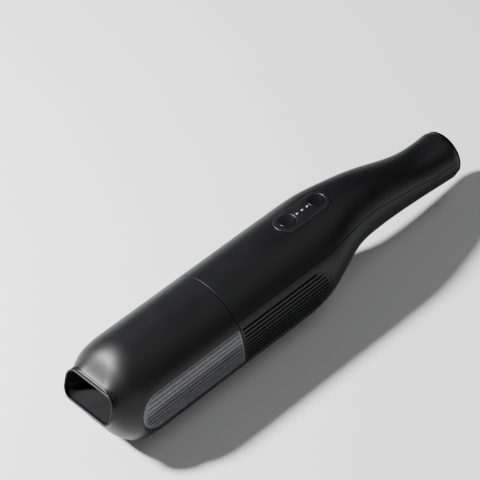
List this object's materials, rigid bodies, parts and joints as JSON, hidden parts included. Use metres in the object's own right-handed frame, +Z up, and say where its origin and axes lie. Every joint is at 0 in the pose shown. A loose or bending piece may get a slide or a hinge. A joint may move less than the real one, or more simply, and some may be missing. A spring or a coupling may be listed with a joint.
{
  "type": "handheld vacuum",
  "caption": "Slim cordless handheld vacuum with a pull-off dust cup, side windows and exhaust grilles, leaning nozzle mouth, filter, fan motor and push-button pad.",
  "frame": {"origin": "bottom centre of the whole vacuum as it lies on its belly, halfway along its length", "axes": "+X forward to the nozzle along the body axis, +Y to the left, +Z up to the buttons"},
  "size_m": [0.3481, 0.0719, 0.0754],
  "materials": {
    "soft_touch_black": "fine matte texture",
    "smoked_clear": "polished, smoked, ribbed inside",
    "grille_black": "satin",
    "collar_pale": "moulded satin",
    "inner_black": "moulded satin",
    "flap_rubber": "soft matte",
    "seal_rubber": "soft matte",
    "bright_steel": "brushed",
    "filter_plastic": "satin",
    "filter_paper": "pleated fibre",
    "filter_mesh": "etched screen",
    "foam": "open-cell foam",
    "port_black": "satin",
    "circuit_board": "solder mask",
    "switch_metal": "stamped",
    "led_diffuser": "frosted",
    "pad_black": "satin",
    "button_black": "satin, dished",
    "motor_steel": "zinc plated",
    "stator_iron": "laminated",
    "coil_copper": "enamelled wire",
    "magnet": "nickel plated",
    "impeller_plastic": "moulded",
    "cell_wrap": "shrink sleeve"
  },
  "bodies": {
    "housing": {"housing_upper": "soft_touch_black", "housing_lower": "soft_touch_black", "housing_screws": "bright_steel", "grille_left": "grille_black", "grille_right": "grille_black", "exhaust_foam": "foam", "port_bezel": "port_black", "usb_socket": "bright_steel", "charge_board": "circuit_board", "motor_bulkhead": "collar_pale", "cup_seal": "seal_rubber", "intake_guard": "inner_black", "fan_shroud": "inner_black", "fan_diffuser": "inner_black", "motor_carrier": "inner_black", "motor_mount_front": "seal_rubber", "motor_mount_rear": "seal_rubber", "motor_can": "motor_steel", "stator_core": "stator_iron", "stator_coils": "coil_copper", "motor_bearing_front": "bright_steel", "motor_bearing_rear": "bright_steel", "control_pad": "pad_black", "led_light_guides": "led_diffuser", "button_board": "circuit_board", "tact_switches": "switch_metal", "status_leds": "led_diffuser", "main_board": "circuit_board", "battery_cell_left": "cell_wrap", "battery_cell_right": "cell_wrap", "battery_cradle": "inner_black"},
    "dust_cup": {"cup_shell": "soft_touch_black", "window_left": "smoked_clear", "window_right": "smoked_clear", "inlet_duct": "inner_black", "flap_pin": "bright_steel"},
    "flap": {"inlet_flap": "flap_rubber"},
    "filter": {"filter_frame": "filter_plastic", "filter_cap": "filter_plastic", "filter_seal": "seal_rubber", "filter_pleats": "filter_paper", "filter_screen": "filter_mesh"},
    "power_key": {"power_button": "button_black"},
    "mode_key": {"mode_button": "button_black"},
    "fan_rotor": {"impeller": "impeller_plastic", "impeller_nut": "bright_steel", "motor_shaft": "bright_steel", "rotor_magnet": "magnet"}
  },
  "joints": [
    {"name": "cup_pull", "type": "slide", "parent": "housing", "child": "dust_cup", "axis": [1, 0, 0], "range_m": [0, 0.12]},
    {"name": "filter_pull", "type": "slide", "parent": "housing", "child": "filter", "axis": [1, 0, 0], "range_m": [0, 0.054]},
    {"name": "flap_swing", "type": "hinge", "parent": "dust_cup", "child": "flap", "pos_m": [0.1302, 0, 0.062], "axis": [0, 1, 0], "range_deg": [0, 55], "stiffness_Nm_per_rad": 0.002},
    {"name": "power_press", "type": "slide", "parent": "housing", "child": "power_key", "axis": [0, 0, -1], "range_m": [0, 0.0007], "stiffness_N_per_m": 1500},
    {"name": "mode_press", "type": "slide", "parent": "housing", "child": "mode_key", "axis": [0, 0, -1], "range_m": [0, 0.0007], "stiffness_N_per_m": 1500},
    {"name": "fan_spin", "type": "hinge", "parent": "housing", "child": "fan_rotor", "pos_m": [0.0408, 0, 0.0368], "axis": [1, 0, 0], "continuous": true}
  ],
  "couplings": [
    {"joint": "filter_pull", "follows": "cup_pull", "ratio": 0.45}
  ]
}
